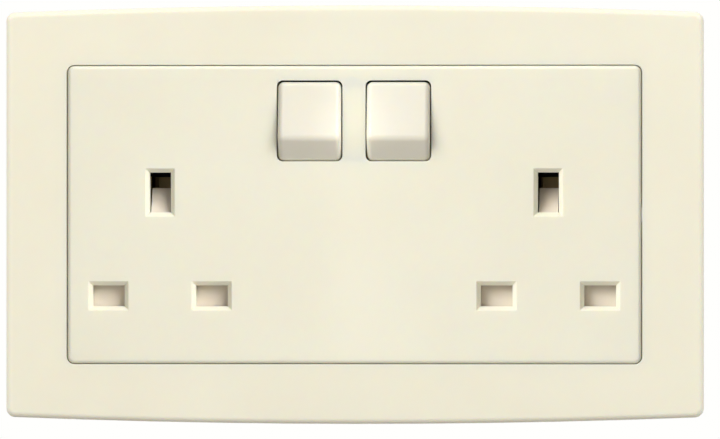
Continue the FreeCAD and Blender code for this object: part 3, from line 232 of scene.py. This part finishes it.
def make_materials():
    """The finishes, by the record's slot names, and for the rockers a darker copy of the ivory that paints
    shade on them.
    """
    return {
        # Ivory urea moulding, satin polished: a warm white that glows a little at thin edges.
        "ivory_plastic": moulded("ivory_urea_satin", ("#F4F2DF", "#F2EFDB"), (0.36, 0.46), 1.54,
                                 glow=0.6, glow_mm=1.6),
        # The rockers get a darker copy of the plate's ivory: painted shade that tones down the light their
        # tilted faces catch.
        "rocker_ivory_painted_shade": moulded("ivory_urea_rocker_painted_shade", ("#EAE7D8", "#E8E5D5"), (0.36, 0.46), 1.54,
                                  glow=0.6, glow_mm=1.6),
        # The shutters are polycarbonate, a shade pinker and duller than the plate.
        "shutter_plastic": moulded("ivory_polycarbonate_matt", ("#E8DFD2", "#E4D9C9"), (0.5, 0.6), 1.58,
                                   glow=0.5, glow_mm=1.5),
        # Natural nylon carrier: milky, waxy, with a coarser tool grain.
        "white_nylon": moulded("natural_nylon", ("#E9E5D8", "#E2DECF"), (0.45, 0.6), 1.53,
                               glow=0.25, glow_mm=1.5, grain_mm=0.8, grain_deep=0.004),
        # Black phenolic tub: nearly black with a dull brown cast, as pressed.
        "housing_plastic": moulded("black_phenolic", ("#1D1A18", "#262220"), (0.35, 0.5), 1.6,
                                   grain_deep=0.003),
        # Acetal plungers: bright, slippery and slightly clear.
        "plunger_nylon": moulded("plunger_acetal", ("#F2F1EC", "#ECEAE4"), (0.3, 0.4), 1.48,
                                 glow=0.2, glow_mm=1.0),
        # Red marking strip of ABS.
        "red_plastic": moulded("red_abs", ("#E0402F", "#D2382A"), (0.3, 0.4), 1.54),
        # Half-hard rolled brass strip with fine lines along its length.
        "brass_strip": metal("rolled_brass", ("#BFA97C", "#AB9A70"), (0.28, 0.42), 0.25, 0.002,
                             stretch=(0.08, 1.0, 1.0)),
        # Free-cutting brass blocks, sawn from drawn bar.
        "brass_block": metal("drawn_brass", ("#DDBA6C", "#C9A257"), (0.2, 0.42), 0.3, 0.003,
                             stretch=(1.0, 1.0, 0.1)),
        # Silver-alloy contact pads, soft and bright.
        "silver_contact": metal("silver_alloy", ("#F1EFE9", "#E3E0D8"), (0.15, 0.3), 0.2, 0.001),
        # Hard-drawn spring wire, grey from its lubricant.
        "spring_steel": metal("spring_wire", ("#A9A9A6", "#8F8F8C"), (0.2, 0.35), 0.2, 0.001),
        # Steel screws with bright zinc: slightly blue, cloudy from the bath.
        "plated_steel": metal("zinc_plated_steel", ("#C9CBCB", "#B4B6B2"), (0.25, 0.45), 0.5, 0.002),
    }


def smoothing_tree():
    """Welds a carried-over node's loose triangles and rounds the shading of its small facets."""
    tree = bpy.data.node_groups.new("weld_and_smooth", "GeometryNodeTree")
    face = tree.interface
    face.new_socket("Geometry", in_out="INPUT", socket_type="NodeSocketGeometry")
    face.new_socket("Weld", in_out="INPUT", socket_type="NodeSocketFloat")
    face.new_socket("Sharp Angle", in_out="INPUT", socket_type="NodeSocketFloat")
    face.new_socket("Geometry", in_out="OUTPUT", socket_type="NodeSocketGeometry")
    given = add(tree, "NodeGroupInput").outputs
    welded = add(tree, "GeometryNodeMergeByDistance", {"Geometry": given["Geometry"],
                                                       "Distance": given["Weld"]})
    smooth = add(tree, "GeometryNodeSetShadeSmooth", {"Geometry": welded.outputs["Geometry"]},
                 domain="FACE")
    angle = add(tree, "GeometryNodeInputMeshEdgeAngle").outputs["Unsigned Angle"]
    sharp = add(tree, "FunctionNodeCompare", {"A": angle, "B": given["Sharp Angle"]},
                operation="GREATER_THAN")
    edges = add(tree, "GeometryNodeSetShadeSmooth",
                {"Geometry": smooth.outputs["Geometry"], "Selection": sharp.outputs["Result"],
                 "Shade Smooth": False}, domain="EDGE")
    add(tree, "NodeGroupOutput", {"Geometry": edges.outputs["Geometry"]})
    return tree


def input_id(tree, name):
    """A group input's identifier, by its name."""
    return next(item.identifier for item in tree.interface.items_tree
                if item.name == name and item.in_out == "INPUT")


def dress_nodes(materials):
    """Gives each node its finish and smooth fillets."""
    tree = smoothing_tree()
    slots = {row["node"]: row["material_slot"] for row in frame["record"]["subparts"]}
    for name, thing in NODES.items():
        thing.data.materials.clear()
        # The rockers' darker ivory copy is painted shade, not a moulding of their own.
        finish = "rocker_ivory_painted_shade" if name in ROCKERS else slots[name]
        thing.data.materials.append(materials[finish])
        smooth = thing.modifiers.new("smooth", "NODES")
        smooth.node_group = tree
        smooth[input_id(tree, "Weld")] = WELD
        smooth[input_id(tree, "Sharp Angle")] = SHARP_ANGLE
        weighted = thing.modifiers.new("weighted", "WEIGHTED_NORMAL")
        weighted.keep_sharp = True


def winding_tree():
    """A round wire or ridge wound along +Z, its turns drawn together towards both ends."""
    tree = bpy.data.node_groups.new("wound_wire", "GeometryNodeTree")
    face = tree.interface
    for name in ("Turns", "Radius", "Height", "Wire Radius"):
        face.new_socket(name, in_out="INPUT", socket_type="NodeSocketFloat")
    for name in ("Steps", "Sides"):
        face.new_socket(name, in_out="INPUT", socket_type="NodeSocketInt")
    face.new_socket("Finish", in_out="INPUT", socket_type="NodeSocketMaterial")
    face.new_socket("Geometry", in_out="OUTPUT", socket_type="NodeSocketGeometry")
    given = add(tree, "NodeGroupInput").outputs
    helix = add(tree, "GeometryNodeCurveSpiral", {"Resolution": given["Steps"], "Rotations": given["Turns"],
                                                  "Start Radius": given["Radius"],
                                                  "End Radius": given["Radius"],
                                                  "Height": given["Height"]})
    spot = add(tree, "GeometryNodeInputPosition").outputs["Position"]
    parts = add(tree, "ShaderNodeSeparateXYZ", {"Vector": spot}).outputs
    eased = add(tree, "ShaderNodeMapRange", {"Value": parts["Z"], "From Max": given["Height"],
                                             "To Max": given["Height"]}, interpolation_type="SMOOTHSTEP")
    closed = add(tree, "ShaderNodeCombineXYZ", {"X": parts["X"], "Y": parts["Y"],
                                                "Z": eased.outputs["Result"]})
    line = add(tree, "GeometryNodeSetPosition", {"Geometry": helix.outputs["Curve"],
                                                 "Position": closed.outputs["Vector"]})
    ring = add(tree, "GeometryNodeCurvePrimitiveCircle", {"Resolution": given["Sides"],
                                                          "Radius": given["Wire Radius"]})
    tube = add(tree, "GeometryNodeCurveToMesh", {"Curve": line.outputs["Geometry"],
                                                 "Profile Curve": ring.outputs["Curve"],
                                                 "Fill Caps": True})
    smooth = add(tree, "GeometryNodeSetShadeSmooth", {"Geometry": tube.outputs["Mesh"]})
    real = add(tree, "GeometryNodeRealizeInstances", {"Geometry": smooth.outputs["Geometry"]})
    dressed = add(tree, "GeometryNodeSetMaterial", {"Geometry": real.outputs["Geometry"],
                                                    "Material": given["Finish"]})
    add(tree, "NodeGroupOutput", {"Geometry": dressed.outputs["Geometry"]})
    return tree


def grown(tree, inputs):
    """The mesh that a Geometry Nodes tree makes from named inputs."""
    holder = bpy.data.objects.new("holder", bpy.data.meshes.new("holder"))
    bpy.context.scene.collection.objects.link(holder)
    grower = holder.modifiers.new("grow", "NODES")
    grower.node_group = tree
    for name, value in inputs.items():
        grower[input_id(tree, name)] = value
    ready = holder.evaluated_get(bpy.context.evaluated_depsgraph_get())
    mesh = bpy.data.meshes.new_from_object(ready)
    bpy.data.objects.remove(holder)
    return mesh


def as_piece(name, meshes, body):
    """Joins meshes that are already in place into one piece that rides on a body."""
    joined = bmesh.new()
    for mesh in meshes:
        joined.from_mesh(mesh)
    bmesh.ops.recalc_face_normals(joined, faces=joined.faces)
    made = bpy.data.meshes.new(name)
    joined.to_mesh(made)
    joined.free()
    made.materials.append(meshes[0].materials[0])
    piece = bpy.data.objects.new(name, made)
    bpy.context.scene.collection.objects.link(piece)
    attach(piece, body)
    return piece


def coil(tree, finish, spring, length, placing):
    """A spring's wire, as long over its ends as given."""
    mesh = grown(tree, {"Turns": spring["turns"], "Radius": spring["mean"], "Wire Radius": spring["wire"],
                        "Height": length - spring["wire"] * 2,
                        "Steps": SPRING_STEPS, "Sides": SPRING_SIDES, "Finish": finish})
    mesh.transform(placing)
    return mesh


def make_springs(tree, finish):
    """Smooth wire in place of the coarse coils of the frame."""
    joints = {row["name"]: row for row in frame["record"]["behaviour"]["joints"]}
    for word in SIDES:
        hinge = Vector(joints[f"{word}_rocker_hinge"]["pos_m"])
        into_stem = Matrix.Rotation(-math.pi / 2 - REST_TILT, 4, "X")
        rise = Vector((0, 0, SPRING_START + ROCKER_SPRING["wire"]))
        placing = Matrix.Translation(hinge) @ into_stem @ Matrix.Translation(rise)
        wire = coil(tree, finish, ROCKER_SPRING, ROCKER_SPRING_LENGTH, placing)
        piece = as_piece(f"rocker_coil_{word}", [wire], f"{word}_rocker")
        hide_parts(f"rocker_spring_{word}")

        low, high = (Vector(corner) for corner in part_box(f"shutter_spring_{word}"))
        foot = Vector(((low.x + high.x) / 2, (low.y + high.y) / 2, low.z + SHUTTER_SPRING["wire"]))
        wire = coil(tree, finish, SHUTTER_SPRING, high.z - low.z, Matrix.Translation(foot))
        piece = as_piece(f"shutter_coil_{word}", [wire], "base")
        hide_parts(f"shutter_spring_{word}")
        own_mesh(piece)


def ridges(tree, finish, across, up, tip, top, thread):
    """A thread's ridge on a screw whose axis runs along Y, from near its tip to near its head."""
    start = tip + thread["ridge"]
    height = top - thread["head"] - thread["ridge"] - start
    mesh = grown(tree, {"Turns": height / thread["pitch"], "Radius": thread["radius"], "Height": height,
                        "Wire Radius": thread["ridge"],
                        "Steps": THREAD_STEPS, "Sides": THREAD_SIDES, "Finish": finish})
    mesh.transform(Matrix.Translation((across, start, up)) @ Matrix.Rotation(-math.pi / 2, 4, "X"))
    return mesh


def make_threads(tree, finish):
    """Ridges on the plain shanks of the terminal screws and of the four housing screws."""
    inner = []
    for name in TERMINALS:
        low, high = (Vector(corner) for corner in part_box(name.replace("terminal", "screw")))
        middle = (low + high) / 2
        inner.append(ridges(tree, finish, middle.x, middle.z, low.y, high.y, TERMINAL_THREAD))
    low, high = (Vector(corner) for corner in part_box("assembly_screws"))
    outer = [ridges(tree, finish, across, up, low.y, high.y, HOUSING_THREAD)
             for across, up in housing_screw_places()]
    as_piece("terminal_screw_threads", inner, "base")
    as_piece("housing_screw_threads", outer, "base")


def housing_screw_places():
    """The axes of the four housing screws, from the middles of their separate heads."""
    in_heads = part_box("assembly_screws")[1][1] - HOUSING_THREAD["head"] / 4
    corners = {}
    for vertex in NODES["assembly_screws"].data.vertices:
        if vertex.co.y > in_heads:
            corners.setdefault((vertex.co.x > 0, vertex.co.z > 0), []).append(vertex.co)
    places = []
    for spots in corners.values():
        across = [spot.x for spot in spots]
        up = [spot.z for spot in spots]
        places.append(((min(across) + max(across)) / 2, (min(up) + max(up)) / 2))
    return places


def make_marks(finish):
    """Moulded letters for the conductors, on the back under each terminal screw."""
    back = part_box("rear_housing")[1][1]
    # Read from behind: the letter's right is the part's left.
    turned = Matrix.Rotation(math.pi, 4, "Z") @ Matrix.Rotation(math.pi / 2, 4, "X")
    meshes = []
    for name in TERMINALS:
        low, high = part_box(name)
        letter = bpy.data.curves.new(f"mark_{name}", "FONT")
        letter.body = name[0].upper()
        letter.size = MARK_TALL
        letter.align_x = "CENTER"
        letter.extrude = MARK_PROUD
        holder = bpy.data.objects.new("holder", letter)
        bpy.context.scene.collection.objects.link(holder)
        ready = holder.evaluated_get(bpy.context.evaluated_depsgraph_get())
        mesh = bpy.data.meshes.new_from_object(ready)
        bpy.data.objects.remove(holder)
        spot = ((low[0] + high[0]) / 2, back, (low[2] + high[2]) / 2 - MARK_BELOW - MARK_TALL / 2)
        mesh.transform(Matrix.Translation(spot) @ turned)
        mesh.materials.clear()
        mesh.materials.append(finish)
        meshes.append(mesh)
    as_piece("conductor_marks", meshes, "base")


def make_camera():
    """Long lens, slightly right of the middle, aimed so that the plate falls where the photograph has it."""
    lens = bpy.data.cameras.new("camera")
    image_wide_m = IMAGE_WIDE / PIXELS_PER_MM * MM
    lens.sensor_width = SENSOR
    lens.lens = SENSOR * VIEW_DISTANCE / image_wide_m
    lens.clip_start = CLIP_NEAR
    lens.clip_end = CLIP_FAR
    camera = bpy.data.objects.new("camera", lens)
    bpy.context.scene.collection.objects.link(camera)
    flat = VIEW_DISTANCE * math.cos(VIEW_RISE)
    rise = VIEW_DISTANCE * math.sin(VIEW_RISE)
    back = Vector((flat * math.sin(VIEW_TURN), -flat * math.cos(VIEW_TURN), rise))
    camera.location = AIM + back
    camera.rotation_mode = "QUATERNION"
    camera.rotation_quaternion = (-back).to_track_quat("-Z", "Y")
    bpy.context.scene.camera = camera


def gathered(name, things):
    """A collection that lamps are linked to."""
    made = bpy.data.collections.new(name)
    for thing in things:
        made.objects.link(thing)
    return made


def add_light(name, kind, power, way=None):
    """A light of a kind, turned to shine in a direction if one is given."""
    light = bpy.data.objects.new(name, bpy.data.lights.new(name, kind))
    light.data.energy = power
    bpy.context.scene.collection.objects.link(light)
    if way:
        light.rotation_mode = "QUATERNION"
        light.rotation_quaternion = way.to_track_quat("-Z", "Y")
    return light


def make_world():
    """A white surround for the camera, and for the light a room that is dimmer in front."""
    world = bpy.data.worlds.new("studio")
    bpy.context.scene.world = world
    world.use_nodes = True
    tree = world.node_tree
    tree.nodes.clear()
    way = add(tree, "ShaderNodeTexCoord").outputs["Generated"]
    depth = add(tree, "ShaderNodeSeparateXYZ", {"Vector": way}).outputs["Y"]
    fill = spread(tree, depth, FRONT_FILL, BACK_FILL, FRONT_ENDS, BACK_STARTS)
    seen = add(tree, "ShaderNodeLightPath").outputs["Is Camera Ray"]
    strength = add(tree, "ShaderNodeMix", {0: seen, 2: fill, 3: BACKGROUND}, data_type="FLOAT").outputs[0]
    colour = between(tree, seen, FILL_COLOUR, BACKGROUND_COLOUR)
    sky = add(tree, "ShaderNodeBackground", {"Color": colour, "Strength": strength})
    add(tree, "ShaderNodeOutputWorld", {"Surface": sky.outputs["Background"]})


def make_floor():
    """A pale matt disc below the view, with a light of its own so that it looks the same from all sides."""
    bpy.ops.mesh.primitive_circle_add(vertices=FLOOR_SIDES, radius=FLOOR_RADIUS, fill_type="NGON")
    floor = bpy.context.object
    floor.name = "floor"
    floor.location = (0, 0, -FLOOR_DROP)
    made, tree, shader, place = new_material("pale_floor")
    cloud = spread(tree, noise(tree, place, 300), 0, 1)
    tree.links.new(between(tree, cloud, "#F2F0ED", "#EEECE9"), shader.inputs["Base Color"])
    shader.inputs["Roughness"].default_value = 0.8
    floor.data.materials.append(made)
    floor.visible_diffuse = False
    wash = add_light("floor_wash", "SUN", FLOOR_WASH)
    wash.data.angle = WASH_ANGLE
    wash.light_linking.receiver_collection = gathered("lit_by_wash", [floor])


def add_spot(name, at, way, half, power, radius, lit):
    """A spot lamp with a short fade at the edge of its cone, which lights only one collection."""
    spot = add_light(name, "SPOT", power, way)
    spot.location = at
    spot.visible_camera = False
    spot.data.color = LAMP_COLOUR
    spot.data.shadow_soft_size = radius
    spot.data.spot_size = half * 2
    spot.data.spot_blend = (math.cos(half - BEAM_FADE) - math.cos(half)) / (1 - math.cos(half))
    spot.light_linking.receiver_collection = lit


def bank_centre(side):
    return Vector((BANK_AT.x * side, BANK_AT.y, BANK_AT.z))


def add_flagged_bank(name, side, lit):
    """A round bank of small lamps high on one side; their beams end along the line x = 0."""
    facing = bank_centre(side).to_track_quat("Z", "Y")
    turn = BEAM_HALF - BEAM_FADE / 2
    for i in range(BANK_LAMPS):
        out = BANK_RADIUS * math.sqrt((i + 0.5) / BANK_LAMPS)
        turned = -GOLDEN_TURN * i * side
        at = bank_centre(side) + facing @ Vector((out * math.cos(turned), out * math.sin(turned), 0))
        to_middle = (Vector((0, -BEAM_ENDS_AT, 0)) - at).normalized()
        across = Vector((-to_middle.y, to_middle.x, 0)).normalized() * side
        way = to_middle * math.cos(turn) + across * math.sin(turn)
        add_spot(f"{name}_{i:02d}", at, way, BEAM_HALF, BANK_POWER / BANK_LAMPS, LAMP_RADIUS, lit)


def add_open_bank(name, side, lit):
    """The same bank as one soft lamp without a flag, at half power, because both reach every piece."""
    at = bank_centre(side)
    add_spot(name, at, -at, OPEN_HALF, BANK_POWER * OPEN_SHARE, BANK_RADIUS, lit)


def make_studio():
    pieces = [thing for thing in bpy.data.objects if thing.type == "MESH"]
    make_world()
    make_floor()
    flagged = gathered("lit_by_flagged", [thing for thing in pieces if thing.name in FLAGGED_NODES])
    rest = gathered("lit_by_open", [thing for thing in pieces if thing.name not in FLAGGED_NODES])
    for word, side in zip(SIDES, (-1, 1)):
        add_flagged_bank(f"flagged_{word}", side, flagged)
        add_open_bank(f"open_{word}", side, rest)
    bpy.context.scene.view_settings.view_transform = "Standard"


finishes = make_materials()
make_camera()
dress_nodes(finishes)
winding = winding_tree()
make_springs(winding, finishes["spring_steel"])
make_threads(winding, finishes["plated_steel"])
make_marks(finishes["housing_plastic"])
make_studio()
